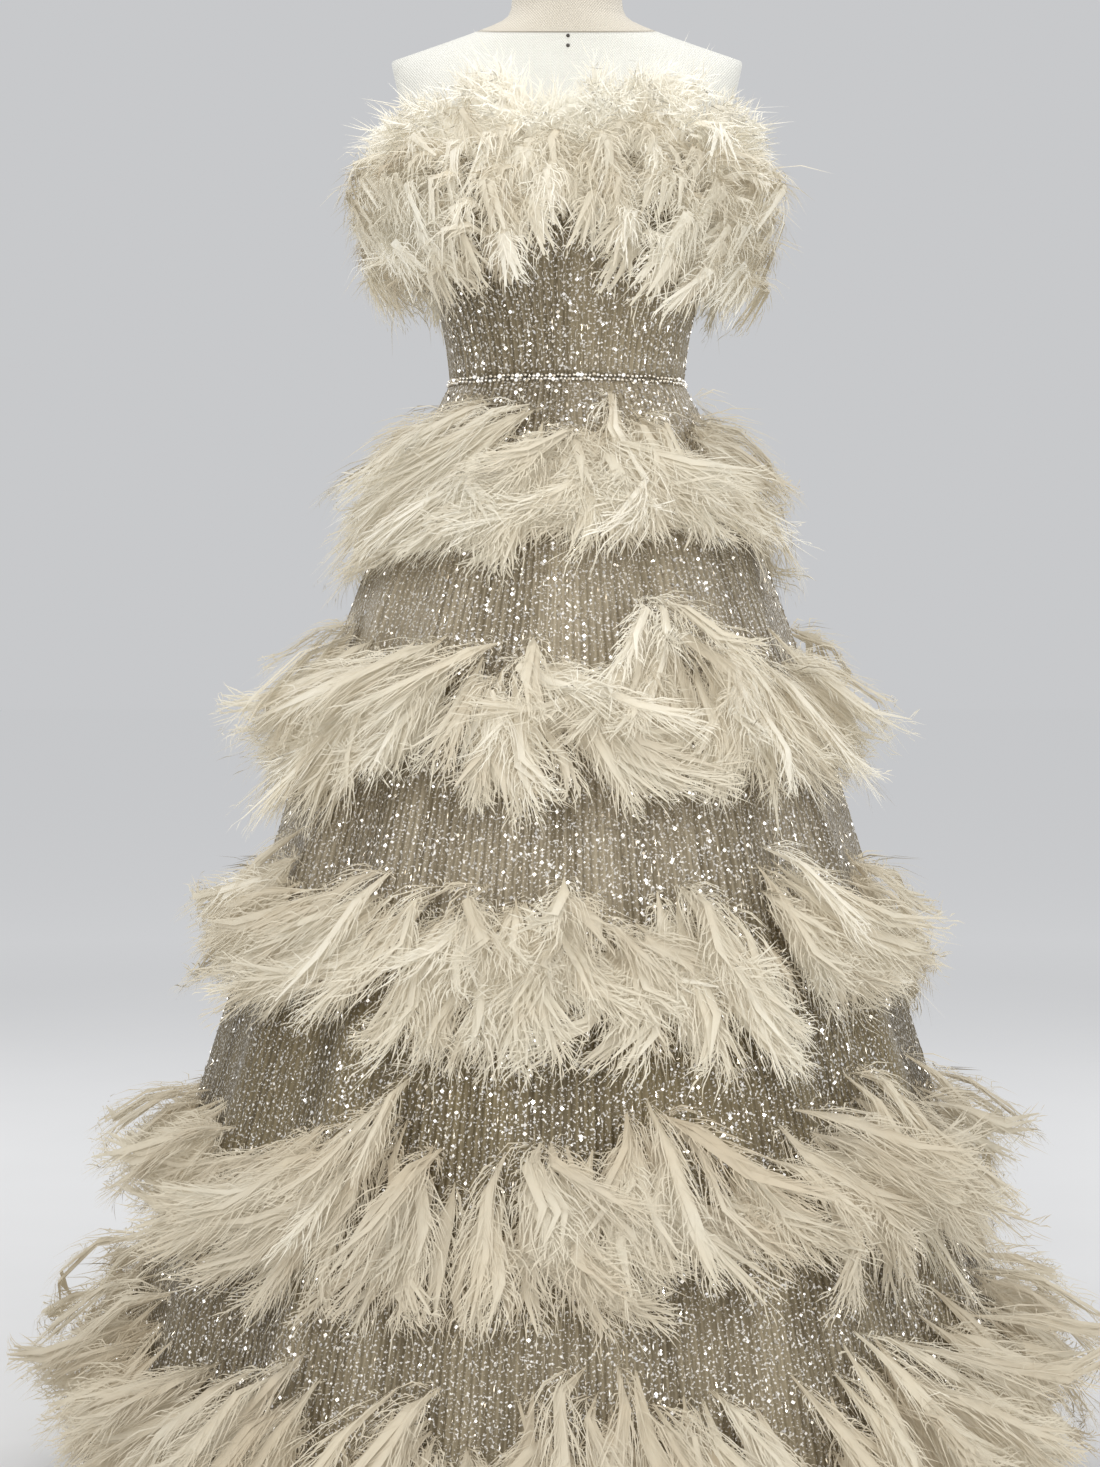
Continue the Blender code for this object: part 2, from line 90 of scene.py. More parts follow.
def add_light(name, place, aim, size, power, colour):
    """An area light, turned to a point on the form's axis."""
    data = bpy.data.lights.new(name, "AREA")
    data.shape = "RECTANGLE"
    data.size, data.size_y = size
    data.energy = power
    data.color = colour
    light = bpy.data.objects.new(name, data)
    bpy.context.scene.collection.objects.link(light)
    light.location = place
    towards = Vector((0, 0, aim)) - Vector(place)
    light.rotation_euler = towards.to_track_quat("-Z", "Y").to_euler()


def set_studio():
    for light in LIGHTS:
        add_light(*light)
    world = bpy.data.worlds.new("studio")
    bpy.context.scene.world = world
    world.use_nodes = True
    backdrop = world.node_tree.nodes["Background"]
    backdrop.inputs["Color"].default_value = BACKDROP_COLOUR
    backdrop.inputs["Strength"].default_value = BACKDROP_STRENGTH
    bpy.context.scene.view_settings.view_transform = "Standard"
    bpy.context.scene.view_settings.exposure = 0.0


# Materials


class Value:
    """A shader socket that takes part in Python sums, adding Math nodes."""

    def __init__(self, finish, socket):
        self.finish = finish
        self.socket = socket

    def maths(self, operation, *others):
        values = [v.socket if isinstance(v, Value) else v for v in (self, *others)]
        return self.finish.node("ShaderNodeMath", {"operation": operation}, dict(enumerate(values)))

    def __add__(self, other):
        return self.maths("ADD", other)

    def __mul__(self, other):
        return self.maths("MULTIPLY", other)

    def __sub__(self, other):
        return self.maths("SUBTRACT", other)

    def __rsub__(self, other):
        return self.maths("MULTIPLY", -1.0).maths("ADD", other)

    def __truediv__(self, other):
        return self.maths("DIVIDE", other)

    def __pow__(self, other):
        return self.maths("POWER", other)

    def clamp(self):
        return self.maths("MAXIMUM", 0.0).maths("MINIMUM", 1.0)


class Finish:
    """A Principled material under construction."""

    def __init__(self, name, **plain):
        self.material = bpy.data.materials.new(name)
        self.material.use_nodes = True
        self.tree = self.material.node_tree
        self.shader = self.tree.nodes["Principled BSDF"]
        for socket, value in plain.items():
            self.shader.inputs[socket.replace("_", " ")].default_value = value

    def node(self, kind, settings=None, sockets=None, out=0):
        """Any node: its settings are made first, then its sockets are filled or linked."""
        made = self.tree.nodes.new(kind)
        for key, value in (settings or {}).items():
            if key == "stops":
                while len(made.color_ramp.elements) < len(value):
                    made.color_ramp.elements.new(1.0)
                for element, (place, colour) in zip(made.color_ramp.elements, value):
                    element.position = place
                    element.color = (*colour, 1)
            else:
                setattr(made, key, value)
        for key, value in (sockets or {}).items():
            if isinstance(value, Value):
                value = value.socket
            if isinstance(value, bpy.types.NodeSocket):
                self.tree.links.new(value, made.inputs[key])
            else:
                made.inputs[key].default_value = value
        return Value(self, made.outputs[out])

    def place(self):
        return self.node("ShaderNodeTexCoord", out="Object")

    def attribute(self, name):
        return self.node("ShaderNodeAttribute", {"attribute_name": name}, out="Fac")

    def noise(self, vector, scale, detail=3.0, roughness=0.5):
        sockets = {"Vector": vector, "Scale": scale, "Detail": detail, "Roughness": roughness}
        return self.node("ShaderNodeTexNoise", None, sockets)

    def axes(self, vector):
        """The three coordinates of a vector."""
        parts = self.node("ShaderNodeSeparateXYZ", None, {0: vector}).socket.node.outputs
        return [Value(self, part) for part in parts]

    def ramp(self, factor, *stops):
        return self.node("ShaderNodeValToRGB", {"stops": stops}, {"Fac": factor})

    def mix(self, factor, a, b, blend="MIX"):
        made = self.node("ShaderNodeMix", {"data_type": "RGBA", "blend_type": blend}, {0: factor}, out=2)
        node = made.socket.node
        for key, value in ((6, a), (7, b)):
            if isinstance(value, Value):
                self.tree.links.new(value.socket, node.inputs[key])
            else:
                node.inputs[key].default_value = (*value, 1)
        return made

    def bump(self, height, distance):
        return self.node("ShaderNodeBump", None, {"Height": height, "Distance": distance})

    def set(self, socket, value):
        self.tree.links.new(value.socket, self.shader.inputs[socket])


def grey(level):
    return (level, level, level)


def feather_finish():
    """Ivory down: each plume's own tint, mottled, warmer and darker towards the root as painted shade, with
    a faint painted glow.
    """
    f = Finish("feather_down", Roughness=0.9, Specular_IOR_Level=0.1, Emission_Strength=0.24)
    tint = f.attribute("tint")
    depth = f.attribute("depth")
    mottle = f.noise(f.place(), 45.0, 4.0, 0.65)
    patch = f.noise(f.place(), 9.0, 2.0)
    ivory = f.ramp(
        tint,
        (0.0, (0.42, 0.35, 0.25)),
        (0.35, (0.465, 0.41, 0.312)),
        (0.7, (0.575, 0.53, 0.425)),
        (1.0, (0.80, 0.775, 0.69)),
    )
    # Painted shade: the down is darker and warmer the deeper in the trim it lies.
    shaded = f.mix(depth * 0.35, ivory, (0.66, 0.54, 0.36), "MULTIPLY")
    warmed = f.mix(((mottle - 0.40) * 2.5).clamp() * 0.24, shaded, (0.52, 0.43, 0.30))
    colour = f.mix(((patch - 0.42) * 3.0).clamp() * 0.22, warmed, (0.57, 0.565, 0.50))
    f.set("Base Color", colour)
    # Painted light: the down glows faintly in its own colour, standing in for light passing through it,
    # which fills its small shadows.
    f.set("Emission Color", colour)
    return f.material


# A ramp runs from 0 to 1, so heights in metres are scaled to fit it.
RAMP_OF_HEIGHT = 0.7
# The beading's darker, more golden tone, partly denser gold beadwork and partly painted shade under the
# feather tiers:
# whole between tiers 3 and 4, about half of it below them and on the bodice, and none between tier 3 and
# the waist.
BEADING_TONE_AND_SHADE = (
    # scaled height, share of the tone and of the painted shade
    (0.17, 0.45),
    (0.32, 1.0),
    (0.38, 1.0),
    (0.46, 0.0),
    (0.80, 0.0),
    (0.83, 0.60),
)


def mesh_finish():
    """Champagne mesh: fine upright bead threads with metal flecks between them."""
    f = Finish("sequin_mesh", Roughness=0.45, Metallic=0.2, Specular_IOR_Level=0.5)
    place = f.place()
    height = f.axes(place)[2]
    threads = f.attribute("thread")
    line = (threads * (2 * math.pi)).maths("COSINE")
    # Short streaks run along single threads, and broad bands along several.
    drawn = f.node("ShaderNodeCombineXYZ", None, {0: threads * 0.9, 1: height * 9.0})
    streak = f.noise(drawn, 1.0, 3.0, 0.6)
    banded = f.node("ShaderNodeCombineXYZ", None, {0: threads * 0.10, 1: height * 1.4})
    bands = f.noise(banded, 1.0, 2.0, 0.5)
    fleck = f.noise(place, 420.0, 1.0)
    patch = f.noise(place, 26.0, 3.0)
    mottled = f.mix(patch, (0.088, 0.065, 0.031), (0.175, 0.138, 0.078))
    mottled = f.mix(((bands - 0.45) * 6.0).clamp() * 0.55, mottled, (0.35, 0.295, 0.20))
    lit = ((streak - 0.42) * 4.0).clamp()
    lined = f.mix(((line + 1.0) * 0.5) ** 3.0 * 0.30 + lit * 0.35, mottled, (0.42, 0.36, 0.255))
    # A darker beading tone and painted shade together, by height.
    tone = f.ramp(height * RAMP_OF_HEIGHT, *[(at, grey(share)) for at, share in BEADING_TONE_AND_SHADE])
    toned = f.mix(tone, lined, (0.64, 0.60, 0.46), "MULTIPLY")
    f.set("Base Color", f.mix(((fleck - 0.58) * 8.0).clamp(), toned, (0.80, 0.77, 0.72)))
    f.set("Roughness", 0.55 - ((fleck - 0.5) * 4.0).clamp() * 0.35)
    f.set("Normal", f.bump(line + fleck * 1.5, 0.0006))
    return f.material


def sequin_finish():
    """Champagne metal of the sequins, the beads and the bead threads, with painted glints on the brightest.
    """
    f = Finish("sequin_metal", Metallic=0.92, Roughness=0.16, Emission_Strength=1.6)
    tint = f.attribute("tint")
    # The brightest few glow: painted glints, standing in for the studio's lights striking them.
    painted_glint = f.ramp(tint, (0.0, grey(0)), (0.86, grey(0.02)), (1.0, (1.0, 0.99, 0.97)))
    metal_colour = f.ramp(
        tint,
        (0.0, (0.45, 0.375, 0.27)),
        (0.6, (0.74, 0.68, 0.57)),
        (1.0, (0.98, 0.97, 0.95)),
    )
    f.set("Emission Color", painted_glint)
    f.set("Base Color", metal_colour)
    return f.material


NECK_SEAM_HEIGHT = 1.5186
NECK_SEAM_SLOPE = 0.26
# The jersey's ribs and rows, in radians a metre.
JERSEY_RIBS = 2400.0
JERSEY_ROWS = 1900.0


def cover_finish():
    """The form's cream jersey cover: a fine knit, a little worn and uneven."""
    f = Finish("form_jersey", Roughness=0.78, Sheen_Weight=0.2, Specular_IOR_Level=0.25)
    place = f.place()
    across, depth, height = f.axes(place)
    knit = (across * JERSEY_RIBS).maths("SINE") * (height * JERSEY_ROWS).maths("SINE")
    wear = f.noise(place, 9.0, 4.0)
    # The neck piece is of an older, darker jersey; its seam dips a little at the front.
    past_seam = height - depth * NECK_SEAM_SLOPE - NECK_SEAM_HEIGHT
    body = f.mix(wear, (0.70, 0.69, 0.63), (0.76, 0.755, 0.70))
    neck = f.mix(wear, (0.60, 0.55, 0.46), (0.66, 0.61, 0.52))
    pieced = f.mix((past_seam * 2500.0).clamp(), body, neck)
    groove = 1.0 - ((past_seam * past_seam) ** 0.5 * 900.0).clamp()
    f.set("Base Color", f.mix(groove * 0.7, pieced, (0.34, 0.29, 0.22)))
    f.set("Normal", f.bump(knit + f.noise(place, 60.0) * 0.6 - groove * 4.0, 0.0004))
    return f.material


def pin_finish():
    """Dull dark enamel of the two marking pins."""
    f = Finish("marking_pin", Roughness=0.4)
    f.set("Base Color", f.mix(f.noise(f.place(), 300.0), (0.03, 0.025, 0.02), (0.07, 0.06, 0.05)))
    return f.material


# The steel's turning marks, in radians a metre of height.
TURNING_MARKS = 5200.0


def stand_finish():
    """Satin steel with faint turning marks."""
    f = Finish("stand_steel", Metallic=0.95)
    place = f.place()
    height = f.axes(place)[2]
    marks = f.noise(place, 30.0, 5.0)
    f.set("Base Color", f.mix(marks, (0.46, 0.46, 0.47), (0.60, 0.60, 0.61)))
    f.set("Roughness", marks * 0.2 + 0.26)
    f.set("Normal", f.bump((height * TURNING_MARKS).maths("SINE"), 0.00005))
    return f.material


def floor_finish():
    """A pale floor that grows paler with distance, to meet the backdrop."""
    f = Finish("studio_floor", Roughness=0.8, Specular_IOR_Level=0.0)
    place = f.place()
    distance = f.node("ShaderNodeVectorMath", {"operation": "LENGTH"}, {0: place}, out="Value")
    near = f.mix(f.noise(place, 4.0), grey(0.66), grey(0.69))
    f.set("Base Color", f.mix(((distance - 1.0) / 5.0).clamp(), near, grey(0.985)))
    return f.material


# Making pieces


def deselect():
    if bpy.context.object and bpy.context.object.mode != "OBJECT":
        bpy.ops.object.mode_set(mode="OBJECT")
    bpy.ops.object.select_all(action="DESELECT")


def finish_piece(piece, material):
    """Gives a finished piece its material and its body."""
    piece.data.materials.clear()
    piece.data.materials.append(material)
    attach(piece, "root")


WELD_DISTANCE = 0.00002
SHARP_ANGLE = math.radians(60)
SMOOTH_ANGLE = math.radians(50)


def fine_copy(node, name, levels):
    """A merged copy of a panel or of the form, with finer smooth faces and the same sharp edges."""
    deselect()
    source = bpy.data.objects[node]
    piece = source.copy()
    piece.data = source.data.copy()
    piece.name = piece.data.name = name
    bpy.context.scene.collection.objects.link(piece)
    bpy.context.view_layer.objects.active = piece
    piece.select_set(True)
    bpy.ops.object.mode_set(mode="EDIT")
    bpy.ops.mesh.select_all(action="SELECT")
    bpy.ops.mesh.remove_doubles(threshold=WELD_DISTANCE)
    bpy.ops.mesh.tris_convert_to_quads(face_threshold=SHARP_ANGLE, shape_threshold=SHARP_ANGLE)
    bpy.ops.mesh.select_all(action="DESELECT")
    bpy.ops.mesh.select_mode(type="EDGE")
    bpy.ops.mesh.edges_select_sharp(sharpness=SHARP_ANGLE)
    bpy.ops.transform.edge_crease(value=1)
    bpy.ops.object.mode_set(mode="OBJECT")
    finer = piece.modifiers.new("finer", "SUBSURF")
    finer.levels = finer.render_levels = levels
    bpy.ops.object.modifier_apply(modifier=finer.name)
    bpy.ops.object.shade_smooth_by_angle(angle=SMOOTH_ANGLE)
    return piece


def join_pieces(pieces, name):
    """Joins pieces into the first, with its origin at the middle of the scene."""
    deselect()
    for piece in pieces:
        piece.select_set(True)
    bpy.context.view_layer.objects.active = pieces[0]
    bpy.ops.object.join()
    bpy.ops.object.transform_apply(location=True, rotation=True, scale=True)
    bpy.ops.object.shade_smooth()
    pieces[0].name = pieces[0].data.name = name


def mesh_points(piece):
    points = np.empty(len(piece.data.vertices) * 3)
    piece.data.vertices.foreach_get("co", points)
    return points.reshape(-1, 3)


def joined_mesh(name, points, faces, normals=None, **values):
    """One mesh of many small things.

    faces is a list of arrays, each with faces of one size. values holds a number for each point.
    """
    mesh = bpy.data.meshes.new(name)
    mesh.vertices.add(len(points))
    mesh.vertices.foreach_set("co", points.astype(np.float32).ravel())
    corners = np.concatenate([f.ravel() for f in faces])
    sizes = np.concatenate([np.full(len(f), f.shape[1]) for f in faces])
    starts = np.concatenate([[0], np.cumsum(sizes)[:-1]])
    mesh.loops.add(len(corners))
    mesh.loops.foreach_set("vertex_index", corners.astype(np.int32))
    mesh.polygons.add(len(sizes))
    mesh.polygons.foreach_set("loop_start", starts.astype(np.int32))
    mesh.update(calc_edges=True)
    mesh.validate()
    mesh.shade_smooth()
    for key, value in values.items():
        mesh.attributes.new(key, "FLOAT", "POINT").data.foreach_set("value", value.astype(np.float32))
    if normals is not None:
        mesh.normals_split_custom_set_from_vertices(normals.tolist())
    piece = bpy.data.objects.new(name, mesh)
    bpy.context.scene.collection.objects.link(piece)
    return piece


def unit(vectors):
    return vectors / np.maximum(np.linalg.norm(vectors, axis=-1, keepdims=True), 1e-9)


def round_about(angle):
    """Level outward directions at angles round the body."""
    return np.stack([np.cos(angle), np.sin(angle), np.zeros_like(angle)], axis=-1)


# The gown's outside as a table of radii, so that trims can be laid on it

TABLE_ANGLES = 360
GIRTH_SAMPLES = 90
# Rays start this far from the axis, outside every piece.
RAY_START = 0.8


class Outside:
    """How far a cloth's outer face lies from the axis, at any angle and height."""

    def __init__(self, pieces, low, high, rows):
        tree = BVHTree.FromPolygons(*self.joined(pieces))
        self.low, self.high, self.rows = low, high, rows
        self.table = np.zeros((rows, TABLE_ANGLES))
        for r in range(rows):
            height = low + (high - low) * r / (rows - 1)
            for a in range(TABLE_ANGLES):
                angle = 2 * math.pi * a / TABLE_ANGLES
                out = Vector((math.cos(angle), math.sin(angle), 0))
                hit = tree.ray_cast(out * RAY_START + Vector((0, 0, height)), -out)[0]
                self.table[r, a] = hit.xy.length if hit else np.nan
            row = self.table[r]
            known = ~np.isnan(row)
            if known.any():
                row[~known] = np.interp(np.flatnonzero(~known), np.flatnonzero(known), row[known])
            else:
                row[:] = self.table[r - 1]

    @staticmethod
    def joined(pieces):
        points, faces = [], []
        for piece in pieces:
            start = len(points)
            points += [v.co.copy() for v in piece.data.vertices]
            faces += [[start + i for i in p.vertices] for p in piece.data.polygons]
        return points, faces

    def radius(self, angle, height):
        row = np.clip((height - self.low) / (self.high - self.low), 0, 1) * (self.rows - 1)
        r = np.minimum(row.astype(int), self.rows - 2)
        column = (angle / (2 * math.pi)) % 1.0 * TABLE_ANGLES
        c = column.astype(int) % TABLE_ANGLES
        u, v = column - np.floor(column), row - r
        n = (c + 1) % TABLE_ANGLES
        low = self.table[r, c] * (1 - u) + self.table[r, n] * u
        high = self.table[r + 1, c] * (1 - u) + self.table[r + 1, n] * u
        return low * (1 - v) + high * v

    def point(self, angle, height, stand_off=0.0):
        out = round_about(angle)
        points = out * (self.radius(angle, height) + stand_off)[..., None]
        points[..., 2] = height
        return points

    def girth(self, height):
        """The length round the cloth at one height, as that of a circle of the mean radius."""
        angles = np.linspace(0, 2 * math.pi, GIRTH_SAMPLES)
        return self.radius(angles, np.full(GIRTH_SAMPLES, height)).mean() * 2 * math.pi


# Feathers

# A lock is a bunch of fine plumes that lie together and part towards their tips.
PLUMES_IN_LOCK = 5
LOCK_SPREAD = np.array((0.0008, 0.0035, 0.0062, 0.0075))
LOCK_TINT_SPREAD = 0.025
PLUME_WIDTH_SHARE = 0.88

# A plume's vane: its steps along the shaft, its share of the plume's width, and how deep it is cupped.
VANE_STEPS = 3
VANE_SHARE = 0.17
VANE_CUP = 0.22

# A plume's barbs: how many it has, their half width, how far flowing ones are drawn to their shaft, and
# how much their tints differ.
BARBS = 23
BARB_WIDTH = 0.0006
FLOWING_PULL = 0.72
BARB_TINT_SPREAD = 0.04

# Plumes face outward and a little up, and are shaded as if they did so too.
FACE_RISE = np.array((0, 0, 0.45))
SHADE_RISE = np.array((0, 0, 0.35))

# What lies past the full reach is drawn in by the slack's share; nothing lies lower than the lowest.
FULL_REACH = 0.565
REACH_SLACK = 0.25
LOWEST = 0.003


def outline_of(t, fullness):
    """A plume's half width along it: downy and broad past the root, drawn in at the tip."""
    return (0.45 + 0.55 * np.clip(t / 0.35, 0, 1)) * (1 - t**fullness) ** 0.7


def depth_at(t):
    """How deep in the trim a plume lies: 1 at its root and 0 at its tip; the material darkens the down by
    it as painted shade.
    """
    return (1 - t) ** 1.5


def soft_at(place, face, outward_pull):
    """Normals that lean to the body's outside, so that a mass of down is shaded as one soft form."""
    pull = unit(place * (1, 1, 0)) + SHADE_RISE
    return unit(face * (1 - outward_pull) + pull * outward_pull)


def within_reach(points):
    """Draws in what would stand off further than the hem's feathers do, and keeps barbs off the floor."""
    radius = np.hypot(points[:, 0], points[:, 1])
    past = np.maximum(radius - FULL_REACH, 0)
    points[:, :2] *= ((radius - past * (1 - REACH_SLACK)) / np.maximum(radius, 1e-6))[:, None]
    points[:, 2] = np.maximum(points[:, 2], LOWEST)
    return points


class Shafts:
    """The shafts of many plumes: each a root, two points that it leans towards, and a tip."""

    def __init__(self, path):
        self.path = path
        self.length = np.linalg.norm(np.diff(path, axis=1), axis=2).sum(axis=1)[:, None]

    def at(self, t):
        """Points, directions, sides and outward faces of the shafts; t is (plumes, stations)."""
        t = t[..., None]
        a, b, c, d = (self.path[:, None, k] for k in range(4))
        place = a * (1 - t) ** 3 + 3 * b * t * (1 - t) ** 2 + 3 * c * t**2 * (1 - t) + d * t**3
        ahead = unit(3 * (b - a) * (1 - t) ** 2 + 6 * (c - b) * t * (1 - t) + 3 * (d - c) * t**2)
        out = unit(unit(place * (1, 1, 0)) + FACE_RISE)
        side = unit(np.cross(ahead, out))
        return place, ahead, side, np.cross(side, ahead)


def vane_parts(shafts, half_width, outward_pull, fullness):
    """Cupped vanes, three points wide: their points, normals, faces and depths."""
    count, rows = len(half_width), VANE_STEPS + 1
    t = np.broadcast_to(np.linspace(0, 0.97, rows), (count, rows))
    place, _, side, face = shafts.at(t)
    # A vane starts narrow at the root.
    opening = np.clip(t * 2.6 + 0.06, 0, 1)
    width = (half_width[:, None] * outline_of(t, fullness) * VANE_SHARE * opening)[..., None]
    uneven = chance.uniform(0.75, 1.25, (2, count, rows, 1))
    left = place + side * width * uneven[0] - face * width * VANE_CUP
    right = place - side * width * uneven[1] - face * width * VANE_CUP
    points = np.stack([left, place, right], axis=2).reshape(-1, 3)
    index = np.arange(len(points)).reshape(count, rows, 3)
    faces = []
    for k in (0, 1):
        corners = (index[:, :-1, k], index[:, 1:, k], index[:, 1:, k + 1], index[:, :-1, k + 1])
        faces.append(np.stack(corners, axis=-1).reshape(-1, 4))
    soft = soft_at(place, face, outward_pull)
    normals = np.stack([soft + side * 0.3, soft, soft - side * 0.3], axis=2).reshape(-1, 3)
    depths = np.repeat(depth_at(t), 3, axis=1).ravel()
    return points, unit(normals), faces, depths


def barb_parts(
    shafts, half_width, first, outward_pull, splay, ruffle, curl, flowing_share, droop, fullness
):
    """Barbs, alternately on the shafts' two sides: their points, normals, faces and depths.

    first is the number of the first barb's first point in the mesh.
    """
    count = len(half_width)
    t = (np.arange(BARBS)[None] + chance.uniform(0, 1, (count, BARBS))) / BARBS
    place, ahead, side, face = shafts.at(t)
    hand = np.where(np.arange(BARBS) % 2, 1.0, -1.0)[None, :, None]
    reach = half_width[:, None] * outline_of(t, fullness) * chance.uniform(0.35, 1.2, t.shape) + 0.002
    # Some barbs flow along the shaft; the others stand off it as down.
    flowing = chance.uniform(0, 1, t.shape) < flowing_share
    spread = splay[0] + (splay[1] - splay[0]) * t + 35 * np.clip(1 - t / 0.12, 0, 1)
    spread = np.radians(spread + chance.normal(0, ruffle, t.shape))
    downy = reach / np.maximum(np.sin(spread), 0.4)
    long = shafts.length * (0.46 - 0.22 * t) * chance.uniform(0.7, 1.2, t.shape)
    length = np.where(flowing, np.maximum(long, reach), downy)[..., None]
    slant = np.where(flowing, np.arcsin(np.clip(reach / length[..., 0], 0, 0.95)), spread)[..., None]
    lift = chance.uniform(-0.35, 0.55, t.shape)[..., None]
    along = ahead * np.cos(slant) + side * hand * np.sin(slant) + face * lift * 0.5
    middle = place + along * length * 0.55
    bend = along * 0.6 + ahead * curl + face * (lift - 0.25) - np.array((0, 0, droop))
    end = middle + unit(bend) * length * 0.5
    # A flowing barb keeps near its own shaft, so that none flies off at the root.
    for further, width_share, target in ((0.12, 0.6, middle), (0.26, 1.0, end)):
        beside, _, aside, _ = shafts.at(np.clip(t + further, 0, 1))
        beside = beside + aside * hand * reach[..., None] * width_share
        target += np.where(flowing[..., None], (beside - target) * FLOWING_PULL, 0.0)
    broad = np.cross(face, along) * (BARB_WIDTH * chance.uniform(0.7, 1.3, t.shape))[..., None]
    points = np.stack([place, middle - broad, middle + broad, end], axis=2).reshape(-1, 3)
    index = first + np.arange(len(points)).reshape(-1, 4)
    faces = [index[:, [0, 1, 2]], index[:, [1, 3, 2]]]
    soft = unit(soft_at(place, face, outward_pull) + chance.uniform(-0.08, 0.08, place.shape))
    normals = np.repeat(soft.reshape(-1, 3), 4, axis=0)
    depths = np.stack([depth_at(t) * share for share in (1.0, 0.5, 0.5, 0.2)], axis=2).ravel()
    return points, normals, faces, depths


def plume_mesh(name, path, half_width, tint, shape):
    """Locks of plumes, each plume with a cupped vane and barbs; path is (locks, 4, 3)."""
    path = np.repeat(path, PLUMES_IN_LOCK, axis=0)
    path = path + chance.normal(0, 1, path.shape) * LOCK_SPREAD[:, None]
    half_width = np.repeat(half_width, PLUMES_IN_LOCK) * PLUME_WIDTH_SHARE
    tint = np.repeat(tint, PLUMES_IN_LOCK) + chance.normal(0, LOCK_TINT_SPREAD, len(path))
    tint = np.clip(tint, 0, 1)
    shafts = Shafts(path)
    vanes = vane_parts(shafts, half_width, shape["outward_pull"], shape["fullness"])
    barbs = barb_parts(shafts, half_width, len(vanes[0]), **shape)
    points, normals, depths = (np.concatenate([vanes[k], barbs[k]]) for k in (0, 1, 3))
    spread = chance.uniform(-BARB_TINT_SPREAD, BARB_TINT_SPREAD, len(path) * BARBS)
    vane_tint = np.repeat(tint, (VANE_STEPS + 1) * 3)
    barb_tint = np.repeat(np.repeat(tint, BARBS) + spread, 4)
    tints = np.clip(np.concatenate([vane_tint, barb_tint]), 0, 1)
    faces = vanes[2] + barbs[2]
    return joined_mesh(name, within_reach(points), faces, normals, tint=tints, depth=depths)


# How the plumes of a trim grow: how far their shading leans to the body's outside, the barbs' slant in
# degrees at the root and at the tip, how uneven it is, how far barbs curl along the shaft, the share of
# them that flows along it, how far they droop, and how full the plume stays towards its tip.
TIER_SHAPE = dict(
    outward_pull=0.8, splay=(70, 34), ruffle=20, curl=0.9, flowing_share=0.42, droop=0.25, fullness=2.6
)
BUST_SHAPE = dict(
    outward_pull=0.35, splay=(75, 46), ruffle=14, curl=0.5, flowing_share=0.16, droop=0.5, fullness=5.0
)
NECKLINE_SHAPE = dict(
    outward_pull=0.4, splay=(70, 46), ruffle=16, curl=0.5, flowing_share=0.20, droop=0.15, fullness=5.0
)

# One tier: where its tape lies, how low its tips hang, how far they stand off the skirt, how many
# locks and clumps it has, and how light it is, the lower tiers darker as painted shade.
TIERS = (
    dict(name="feather_tier_1", top=1.132, bottom=0.968, stand_off=0.050, locks=450, clumps=13, light=0.62),
    dict(name="feather_tier_2", top=0.902, bottom=0.754, stand_off=0.060, locks=460, clumps=15, light=0.58),
    dict(name="feather_tier_3", top=0.678, bottom=0.530, stand_off=0.054, locks=470, clumps=17, light=0.56),
    dict(name="feather_tier_4", top=0.460, bottom=0.300, stand_off=0.058, locks=480, clumps=19, light=0.42),
    dict(name="feather_tier_5", top=0.246, bottom=0.074, stand_off=0.078, locks=490, clumps=21, light=0.40),
)
# The share of a tier's locks that lies evenly under its clumps, and the share that arches out.
BASE_SHARE = 0.40
ARCHED_SHARE = 0.36
LOWEST_TIP = 0.012
# Every lock is rooted this far off the cloth.
ROOT_STAND_OFF = 0.002


